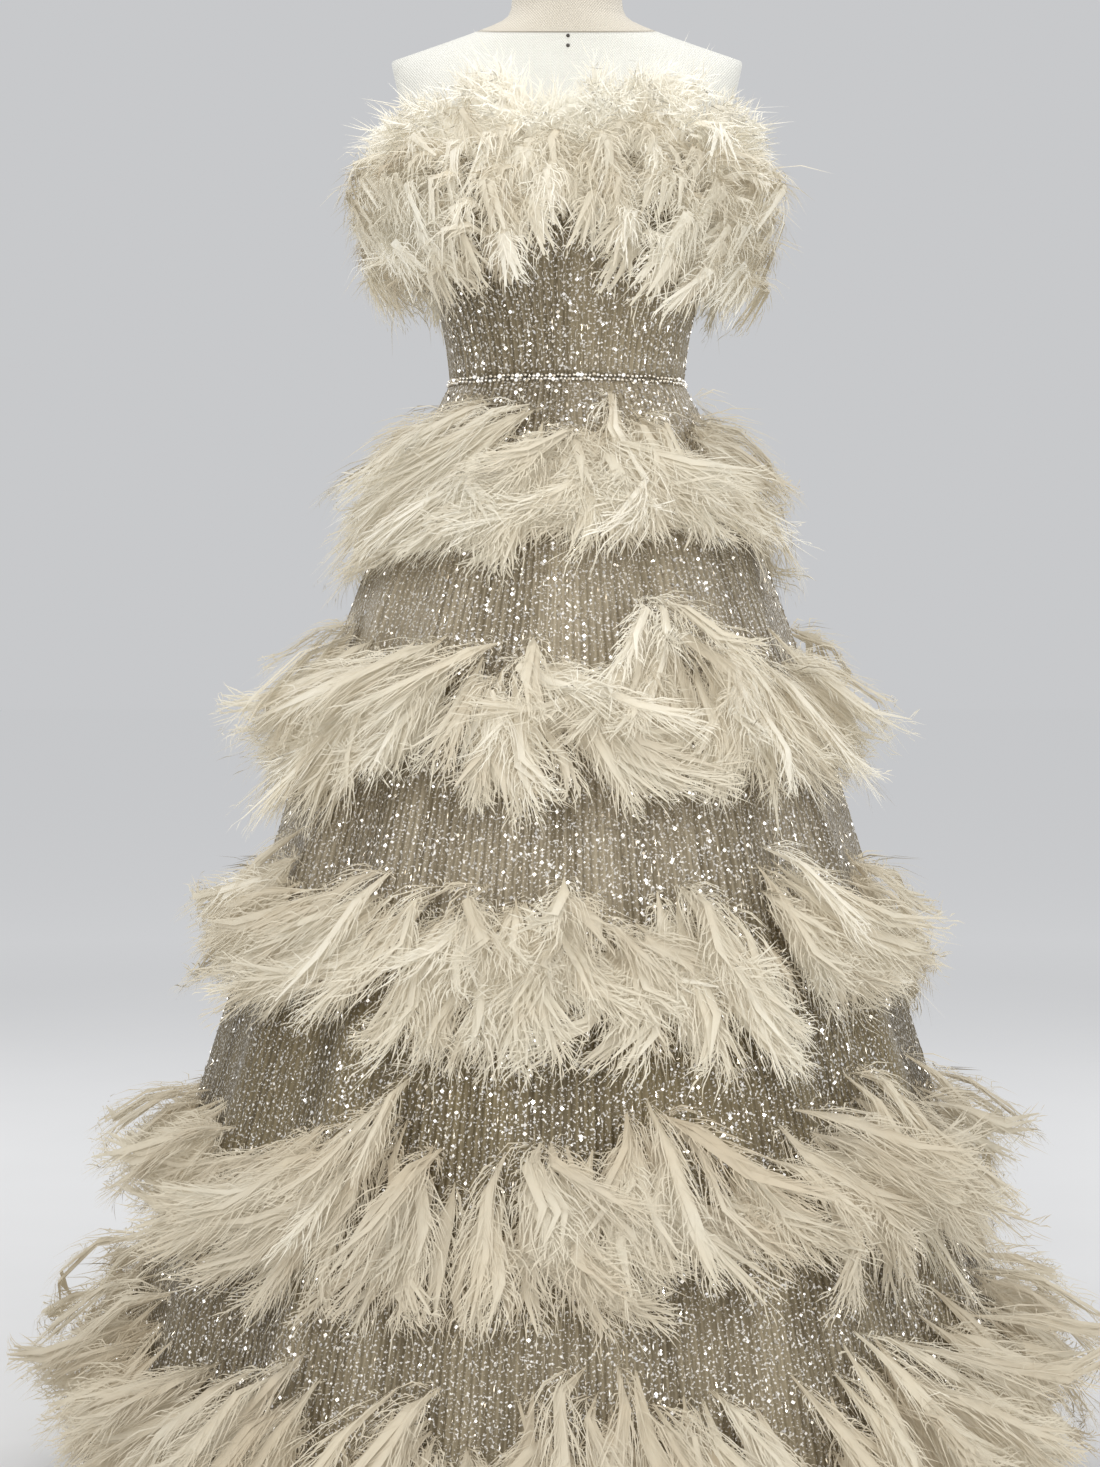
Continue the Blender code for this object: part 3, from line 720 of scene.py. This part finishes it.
def tier_plumes(outside, name, top, bottom, stand_off, locks, clumps, light):
    """A tier's plumes: clumps with a peak, whose plumes fan out, are swept aside and hook up."""
    height = top - bottom
    clump = np.arange(locks) % clumps
    base = chance.uniform(0, 1, locks) < BASE_SHARE
    centre = (np.arange(clumps) + chance.uniform(-0.25, 0.25, clumps)) * 2 * math.pi / clumps
    # The clumps are brushed to either side; at the front most lean away from the middle.
    sweep = chance.uniform(-1, 1, clumps) * 0.7 + 0.9 * np.cos(centre)
    raised = chance.triangular(-0.030, 0.0, 0.075, clumps)
    hang = chance.uniform(-0.046, 0.036, clumps)
    # The layer is 0 for locks that are rooted highest and stand off most, and 1 for the lowest.
    layer = chance.uniform(0, 1, locks)
    fan = chance.triangular(-1, 0, 1, locks)
    angle = centre[clump] + np.where(base, fan * 1.9, fan * 1.2) * math.pi / clumps
    peak = raised[clump] - np.abs(fan) ** 0.8 * 0.060
    root_height = top + np.where(base, -0.022, peak) - layer * height * 0.42
    root_height = root_height + chance.normal(0, 0.007, locks)
    drop = height * (0.74 + 0.30 * (1 - layer)) * chance.uniform(0.72, 1.12, locks)
    room = root_height - bottom - hang[clump] + chance.uniform(-0.014, 0.014, locks)
    drop = np.minimum(drop, room)
    # The arched plumes are shorter and stand further out: a tier is widest at half its height.
    arched = chance.uniform(0, 1, locks) < ARCHED_SHARE
    drop = drop * np.where(arched, chance.uniform(0.42, 0.80, locks), 1.0)
    stand = stand_off * (0.30 + 0.70 * (1 - layer)) * chance.uniform(0.5, 1.12, locks)
    stand = stand * np.where(arched, 1.5, 0.95)
    radius = outside.radius(angle, root_height)
    aside = sweep[clump] * 0.085 * (1.1 - 0.5 * layer) + fan * 0.062 + chance.normal(0, 0.022, locks)
    wave = chance.normal(0, 0.024, locks)
    hook = (aside * 0.45 + chance.normal(0, 0.012, locks)) * chance.uniform(0, 1, locks)
    aside, hook, wave = aside / radius, hook / radius, wave / radius
    root = outside.point(angle, root_height, ROOT_STAND_OFF)
    arch = np.where(arched, chance.uniform(0.04, 0.20, locks), -0.10)
    lean_1 = outside.point(angle + aside * 0.10 + wave, root_height + drop * arch, stand * 0.70)
    curled = chance.uniform(0, 1, locks) ** 2
    fall = drop * (0.72 + 0.26 * curled)
    lean_2 = outside.point(angle + aside * 0.62 - wave, root_height - fall, stand * 1.10)
    flick = chance.uniform(-0.014, 0.016, locks)
    tip = outside.point(angle + aside + hook, root_height - drop, stand * (0.82 + 0.35 * curled) + flick)
    tip[:, 2] = np.maximum(tip[:, 2] + (np.abs(hook) * radius + 0.022 * curled) * 0.6, LOWEST_TIP)
    path = np.stack([root, lean_1, lean_2, tip], axis=1)
    half_width = chance.uniform(0.020, 0.036, locks)
    # Painted light and shade: locks rooted highest and standing off most are tinted lighter, those beneath
    # darker.
    tint = np.clip(light + chance.normal(0, 0.09, locks) + 0.12 * (1 - layer), 0, 1)
    return plume_mesh(name + "_plumes", path, half_width, tint, TIER_SHAPE)


# The bust trim, in metres, and in degrees from the centre front. Its lower edge rises at the front.
EDGE_HEIGHT, EDGE_RISE, EDGE_WIDTH = 1.212, 0.095, 22.0
# The neckline is a little lower at the back and rises over the cups.
NECKLINE_HEIGHT, BACK_DROP = 1.368, 0.016
CUP_RISE, CUP_ANGLE, CUP_WIDTH = 0.03, 36, 26
BELOW_NECKLINE = 0.004
BUST_RADIUS = 0.15
BUST_LOCKS, NECKLINE_LOCKS = 340, 215
# Successive locks are this share of the band's height apart, which covers it evenly.
GOLDEN_SHARE = 0.618034


def from_front(angle):
    """Degrees round the body from the centre front."""
    return np.degrees(np.abs((angle + 3 * math.pi / 2) % (2 * math.pi) - math.pi))


def lower_edge(angle):
    """The bust trim's lower edge: high at the centre front, low towards the sides."""
    return EDGE_HEIGHT + EDGE_RISE * np.exp(-((from_front(angle) / EDGE_WIDTH) ** 2))


def neckline(angle):
    front = from_front(angle)
    back = np.clip(-np.cos(np.radians(front)), 0, 1)
    cup = np.exp(-(((front - CUP_ANGLE) / CUP_WIDTH) ** 2))
    return NECKLINE_HEIGHT - BACK_DROP * back + CUP_RISE * cup


def spread_round(count):
    """Angles and shares of the height that cover a band evenly, each a little off its place."""
    order = np.arange(count)
    angle = (order + chance.uniform(-1, 1, count)) * 2 * math.pi / count
    share = np.clip(order * GOLDEN_SHARE % 1.0 + chance.uniform(-0.06, 0.06, count), 0, 1)
    return angle, share


def bust_plumes(outside, count):
    """Short curled plumes over the bodice: they stand out, curl over and hang."""
    angle, share = spread_round(count)
    low = lower_edge(angle) + 0.028
    root_height = low + (neckline(angle) - BELOW_NECKLINE - low) * share
    length = chance.uniform(0.050, 0.078, count)
    side = np.abs(np.cos(angle)) ** 1.5
    stand = length * (0.74 + 0.26 * side)
    # One in three lies close to the cloth and backs the others, so that little cloth shows.
    stand = np.where(np.arange(count) % 3 == 0, stand * 0.35, stand)
    aside = chance.normal(0, 0.024, count) / BUST_RADIUS
    root = outside.point(angle, root_height, ROOT_STAND_OFF)
    lean_1 = outside.point(angle + aside * 0.2, root_height + length * 0.44, stand * 0.66)
    lean_2 = outside.point(angle + aside * 0.7, root_height + length * 0.34, stand * 1.30)
    tip = outside.point(angle + aside, root_height - length * 0.46, stand * 0.64)
    path = np.stack([root, lean_1, lean_2, tip], axis=1)
    half_width = chance.uniform(0.020, 0.032, count)
    # Painted light: the bust trim is tinted lighter than the tiers below it.
    tint = np.clip(0.71 + chance.normal(0, 0.14, count), 0, 1)
    return plume_mesh("bust_plumes_lower", path, half_width, tint, BUST_SHAPE)


def neckline_plumes(outside, count):
    """Plumes along the neckline that stand up against the form and bend outward at their tips."""
    angle, share = spread_round(count)
    root_height = neckline(angle) - BELOW_NECKLINE - 0.036 * share
    notch = 1 - 0.22 * np.exp(-((from_front(angle) / 9.0) ** 2))
    side = np.abs(np.cos(angle)) ** 1.5
    length = chance.uniform(0.060, 0.084, count) * notch * (1 - 0.38 * side)
    stand = length * (0.34 + 0.25 * side)
    aside = chance.normal(0, 0.018, count) / BUST_RADIUS
    root = outside.point(angle, root_height, ROOT_STAND_OFF)
    lean_1 = outside.point(angle + aside * 0.2, root_height, stand * 0.45)
    lean_1[:, 2] += length * 0.45
    lean_2 = outside.point(angle + aside * 0.7, root_height, stand * 0.9)
    lean_2[:, 2] += length * 1.0
    tip = outside.point(angle + aside, root_height, stand * 1.35)
    tip[:, 2] += length * 0.82
    path = np.stack([root, lean_1, lean_2, tip], axis=1)
    half_width = chance.uniform(0.018, 0.028, count)
    # Painted light: the neckline's plumes are tinted lighter still, as the top is most lit.
    tint = np.clip(0.97 + chance.normal(0, 0.08, count), 0, 1)
    return plume_mesh("bust_plumes_upper", path, half_width, tint, NECKLINE_SHAPE)


# Cloth

# Creases pressed into the skirt: where they run, how high they start and end, how deep and how wide.
CREASES = (
    # angle, top, bottom, depth, half width (degrees)
    (-101, 1.10, 0.00, 0.0040, 3.4),
    (-84, 1.02, 0.00, -0.0034, 2.8),
    (-66, 0.96, 0.10, 0.0036, 3.0),
    (-47, 1.06, 0.00, -0.0030, 3.6),
    (-28, 0.90, 0.00, 0.0042, 3.0),
    (-12, 1.04, 0.20, 0.0032, 3.4),
    (9, 1.00, 0.00, -0.0036, 3.2),
    (31, 0.94, 0.00, 0.0040, 3.0),
    (55, 1.06, 0.15, 0.0034, 3.8),
    (73, 0.98, 0.00, -0.0030, 2.8),
    (97, 1.08, 0.00, 0.0042, 3.2),
    (118, 0.92, 0.00, 0.0036, 3.0),
    (141, 1.04, 0.10, -0.0032, 3.6),
    (163, 1.00, 0.00, 0.0038, 3.2),
    (-172, 0.96, 0.00, -0.0034, 3.0),
    (-151, 1.06, 0.00, 0.0040, 3.4),
    (-128, 0.98, 0.12, 0.0034, 3.0),
)


def press_creases(piece):
    """Moves the skirt's points in or out along each crease, which fades at its two ends."""
    points = mesh_points(piece)
    angle = np.degrees(np.arctan2(points[:, 1], points[:, 0]))
    height = points[:, 2]
    push = np.zeros(len(points))
    for middle, top, bottom, depth, width in CREASES:
        off = (angle - middle + 180) % 360 - 180
        span = np.clip((top - height) / 0.25, 0, 1) * np.clip((height - bottom + 0.05) / 0.15, 0, 1)
        push += depth * np.exp(-((off / width) ** 2)) * span
    points += unit(points * (1, 1, 0)) * push[:, None]
    piece.data.vertices.foreach_set("co", points.ravel())
    piece.data.update()


WAIST = 1.152
# Bead threads lie about this far apart; each stretch between two breaks has its own count.
THREAD_SPACING = 0.0075
THREAD_BREAKS = (1.45, WAIST, 1.06, 0.83, 0.605, 0.38, 0.155, -0.01)
THREAD_COUNTS = {}
# Threads are counted at the middle of what of a stretch lies between these heights.
TOP_COUNTED, BOTTOM_COUNTED = 1.36, 0.02


def count_threads(outside, high, low):
    middle = (min(high, TOP_COUNTED) + max(low, BOTTOM_COUNTED)) / 2
    return int(outside.girth(middle) / THREAD_SPACING)


def threads_at(height, outsides):
    """How many threads the stretch at a height has all round."""
    for high, low in zip(THREAD_BREAKS, THREAD_BREAKS[1:]):
        if low < height <= high:
            if high not in THREAD_COUNTS:
                part = "bodice" if high > WAIST else "skirt"
                THREAD_COUNTS[high] = count_threads(outsides[part], high, low)
            return THREAD_COUNTS[high]
    return 1


def mark_threads(piece, outsides):
    """Stores at each face corner how many threads it is from the side seam, for the material."""
    mesh = piece.data
    points = mesh_points(piece)
    turn = np.arctan2(points[:, 1], points[:, 0]) / (2 * math.pi) % 1.0
    value = np.zeros(len(mesh.loops))
    for face in mesh.polygons:
        turns = turn[list(face.vertices)]
        if turns.max() - turns.min() > 0.5:
            turns = np.where(turns < 0.5, turns + 1, turns)
        value[face.loop_indices] = turns * threads_at(face.center.z, outsides)
    mesh.attributes.new("thread", "FLOAT", "CORNER").data.foreach_set("value", value.astype(np.float32))


def facets(name, centres, along, across, length, width, tint):
    """Small flat metal pieces: a diamond for each centre."""
    a, b = along * length[:, None] / 2, across * width[:, None] / 2
    points = np.stack([centres - a, centres + b, centres + a, centres - b], axis=1).reshape(-1, 3)
    index = np.arange(len(points)).reshape(-1, 4)
    return joined_mesh(name, points, [index], tint=np.repeat(tint, 4))


# Sequins and the pieces of the bead threads: how far off the cloth they lie, and their sizes.
GLITTER_STAND_OFF = 0.0012
SEQUIN_SIZES = (0.0022, 0.0045)
THREAD_PIECE_LENGTHS = (0.0045, 0.0085)
THREAD_PIECE_WIDTH = 0.0013
# This many neighbouring threads are rich or poor in sequins, and in painted glints, together.
THREADS_IN_GROUP = 7


def glitter(outside, name, high, low, spacing, density):
    """Bead threads and loose sequins on the cloth between two heights."""
    threads = count_threads(outside, high, low)
    rows = int((high - low) / spacing)
    turn = np.repeat(np.arange(threads), rows) / threads
    height = high - (np.tile(np.arange(rows), threads) + chance.uniform(0, 1, threads * rows)) * spacing
    fullness = 0.62 + 0.3 * np.sin(turn * 2 * math.pi * 23) * np.sin(height * 40)
    keep = chance.uniform(0, 1, len(turn)) < fullness
    turn, height = turn[keep], height[keep]
    loose = int(len(turn) * density)
    # Some threads are richer than others, so that the sequins and their painted glints run down the cloth
    # in streaks.
    groups = chance.uniform(0, 1, threads // THREADS_IN_GROUP + 1)
    groups = np.repeat(groups, THREADS_IN_GROUP)[:threads]
    rich_and_glinting = chance.uniform(0, 1, threads) ** 2 * 0.4 + groups**2 * 0.6
    picked = chance.choice(threads, loose, p=(rich_and_glinting + 0.05) / (rich_and_glinting + 0.05).sum())
    astray = np.where(chance.uniform(0, 1, loose) < 0.72, 0.0, chance.uniform(-0.5, 0.5, loose))
    own = np.concatenate([np.round(turn * threads).astype(int) % threads, picked])
    turn = np.concatenate([turn, (picked + astray) / threads])
    height = np.concatenate([height, chance.uniform(low, high, loose)])
    count = len(turn)
    is_loose = np.arange(count) >= count - loose
    angle = turn * 2 * math.pi
    centre = outside.point(angle, height, GLITTER_STAND_OFF)
    below = outside.point(angle, height - 0.01, GLITTER_STAND_OFF)
    beside = outside.point(angle + 0.01, height, GLITTER_STAND_OFF)
    down = unit(below - centre)
    across = unit(beside - centre)
    face = unit(np.cross(across, -down))
    across = np.cross(-down, face) * -1.0
    tilt = chance.normal(0, 0.30, (count, 2))
    sequin_size = chance.uniform(*SEQUIN_SIZES, count)
    piece_length = chance.uniform(*THREAD_PIECE_LENGTHS, count)
    length = np.where(is_loose, sequin_size, piece_length)
    width = np.where(is_loose, length, THREAD_PIECE_WIDTH)
    along = unit(down + face * tilt[:, :1])
    wide = unit(across + face * tilt[:, 1:])
    # A loose sequin's tint is higher on rich threads; past 0.86 the metal glows as a painted glint, which
    # no thread piece reaches.
    tint = np.where(is_loose, 0.62 + 0.24 * rich_and_glinting[own], 0.33 + 0.2 * rich_and_glinting[own])
    tint = tint + chance.uniform(-0.3, 0.3, count)
    return facets(name, centre, along, wide, length, width, np.clip(tint, 0, 1))


SEAM_RADIUS = 0.0009
SEAM_STAND_OFF = 0.0003


def seam_cord(outside, name, angle, high, low, steps):
    """A seam's narrow stitched ridge down the cloth at one angle."""
    heights = np.linspace(high, low, steps)
    points = outside.point(np.full(steps, angle), heights, SEAM_STAND_OFF)
    curve = bpy.data.curves.new(name, "CURVE")
    curve.dimensions = "3D"
    curve.bevel_depth = SEAM_RADIUS
    curve.bevel_resolution = 1
    curve.use_fill_caps = True
    line = curve.splines.new("POLY")
    line.points.add(steps - 1)
    for knot, point in zip(line.points, points):
        knot.co = (*point, 1)
    piece = bpy.data.objects.new(name, curve)
    bpy.context.scene.collection.objects.link(piece)
    deselect()
    bpy.context.view_layer.objects.active = piece
    piece.select_set(True)
    bpy.ops.object.convert(target="MESH")
    bpy.ops.object.shade_smooth()
    return bpy.context.object


def bead_row(outside, name, height, spacing, radius):
    """A row of round beads laid round the cloth at one height."""
    count = int(outside.girth(height) / spacing)
    angle = np.arange(count) * 2 * math.pi / count
    centre = outside.point(angle, height + chance.normal(0, 0.0006, count), radius * 0.6)
    deselect()
    bpy.ops.mesh.primitive_ico_sphere_add(subdivisions=1, radius=1)
    pattern = bpy.context.object
    shape = mesh_points(pattern)
    corners = np.array([list(face.vertices) for face in pattern.data.polygons])
    bpy.data.objects.remove(pattern)
    sizes = radius * chance.uniform(0.85, 1.15, (count, 1, 1))
    points = centre[:, None] + shape[None] * sizes
    faces = (corners[None] + np.arange(count)[:, None, None] * len(shape)).reshape(-1, 3)
    # Beads tinted past 0.86 glow: painted glints on a few waist beads.
    tint = np.repeat(chance.uniform(0.4, 0.97, count), len(shape))
    return joined_mesh(name, points.reshape(-1, 3), [faces], tint=tint)


# The gown

STEEL_NODES = ("form_neck_cap", "form_pole", "form_collar", "form_foot")

# The two marking pins at the front of the neck, one on its seam and one below: across and height.
PINS = ((0.001, 1.503), (0.001, 1.4927))
PIN_RADIUS = 0.0020

# The cut of each panel: its widest and longest, and its area. A bodice panel's are measured over its
# wall. A skirt panel is laid flat as part of a ring, from its girths at waist and hem and its slant.
PANELS = (
    # node, widest and longest, area, part
    ("bodice_front", (0.45, 0.26), 0.095, "bodice"),
    ("bodice_back_left", (0.23, 0.22), 0.041, "bodice"),
    ("bodice_back_right", (0.23, 0.22), 0.041, "bodice"),
    ("skirt_front", (1.53, 1.26), 1.18, "skirt"),
    ("skirt_back_left", (0.79, 1.23), 0.59, "skirt"),
    ("skirt_back_right", (0.79, 1.23), 0.59, "skirt"),
)
PARTS = (
    # part, levels of finer faces, lowest and highest row of its table of radii, number of rows
    ("skirt", 2, 0.002, 1.150, 120),
    ("bodice", 1, 1.156, 1.400, 50),
)
GLITTER = (
    # name, part, top, bottom, spacing along a thread, loose sequins for each piece of a thread
    ("bodice_glitter", "bodice", 1.345, 1.160, 0.010, 0.95),
    ("skirt_glitter_1", "skirt", 1.150, 0.800, 0.013, 1.05),
    ("skirt_glitter_2", "skirt", 0.800, 0.360, 0.015, 1.05),
    ("skirt_glitter_3", "skirt", 0.360, 0.006, 0.017, 1.05),
)
BEAD_ROWS = (
    # name, part, height, radius
    ("waist_beads_upper", "bodice", 1.1553, 0.0022),
    ("waist_beads_lower", "skirt", 1.1512, 0.0021),
)
BEAD_SPACING = 0.0046
SEAMS = (
    # part, top, bottom, number of points
    ("skirt", 1.150, 0.004, 90),
    ("bodice", 1.350, 1.158, 24),
)
SEAM_ANGLES = (("left_side", 0.0), ("right_side", math.pi), ("centre_back", math.pi / 2))

set_camera()
set_studio()

down, mesh_cloth, metal = feather_finish(), mesh_finish(), sequin_finish()
cover, steel = cover_finish(), stand_finish()

for node in STEEL_NODES:
    bpy.data.objects[node].data.materials.clear()
    bpy.data.objects[node].data.materials.append(steel)

torso = fine_copy("form_torso", "form_cover_shell", 1)
finish_piece(torso, cover)
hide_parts("form_torso")

pins = []
torso_skin = BVHTree.FromPolygons(*Outside.joined([torso]))
for x, z in PINS:
    front = torso_skin.ray_cast(Vector((x, -1, z)), Vector((0, 1, 0)))[0]
    deselect()
    bpy.ops.mesh.primitive_uv_sphere_add(segments=12, ring_count=8, radius=PIN_RADIUS, location=front)
    pins.append(bpy.context.object)
join_pieces(pins, "marking_pins")
finish_piece(pins[0], pin_finish())

finer_levels = {part: levels for part, levels, *_ in PARTS}
shells = {}
for node, _, _, part in PANELS:
    shells[node] = fine_copy(node, node + "_cloth", finer_levels[part])
    if part == "skirt":
        press_creases(shells[node])

outsides = {}
for part, _, low, high, rows in PARTS:
    outsides[part] = Outside([shells[node] for node in shells if node.startswith(part)], low, high, rows)

for node, flat, area, _ in PANELS:
    shell = shells[node]
    mark_threads(shell, outsides)
    finish_piece(shell, mesh_cloth)
    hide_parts(node)

for name, part, high, low, spacing, density in GLITTER:
    piece = glitter(outsides[part], name, high, low, spacing, density)
    finish_piece(piece, metal)

for name, part, height, radius in BEAD_ROWS:
    finish_piece(bead_row(outsides[part], name, height, BEAD_SPACING, radius), metal)

for part, high, low, steps in SEAMS:
    for side, angle in SEAM_ANGLES:
        seam = seam_cord(outsides[part], f"{part}_seam_{side}", angle, high, low, steps)
        finish_piece(seam, mesh_cloth)

for tier in TIERS:
    piece = tier_plumes(outsides["skirt"], **tier)
    finish_piece(piece, down)
    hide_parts(tier["name"])

lower = bust_plumes(outsides["bodice"], BUST_LOCKS)
finish_piece(lower, down)
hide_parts("bust_feathers_lower")
upper = neckline_plumes(outsides["bodice"], NECKLINE_LOCKS)
finish_piece(upper, down)
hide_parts("bust_feathers_upper")

bpy.ops.mesh.primitive_plane_add(size=FLOOR_SIZE)
floor = bpy.context.object
floor.name = "floor"
floor.data.materials.append(floor_finish())
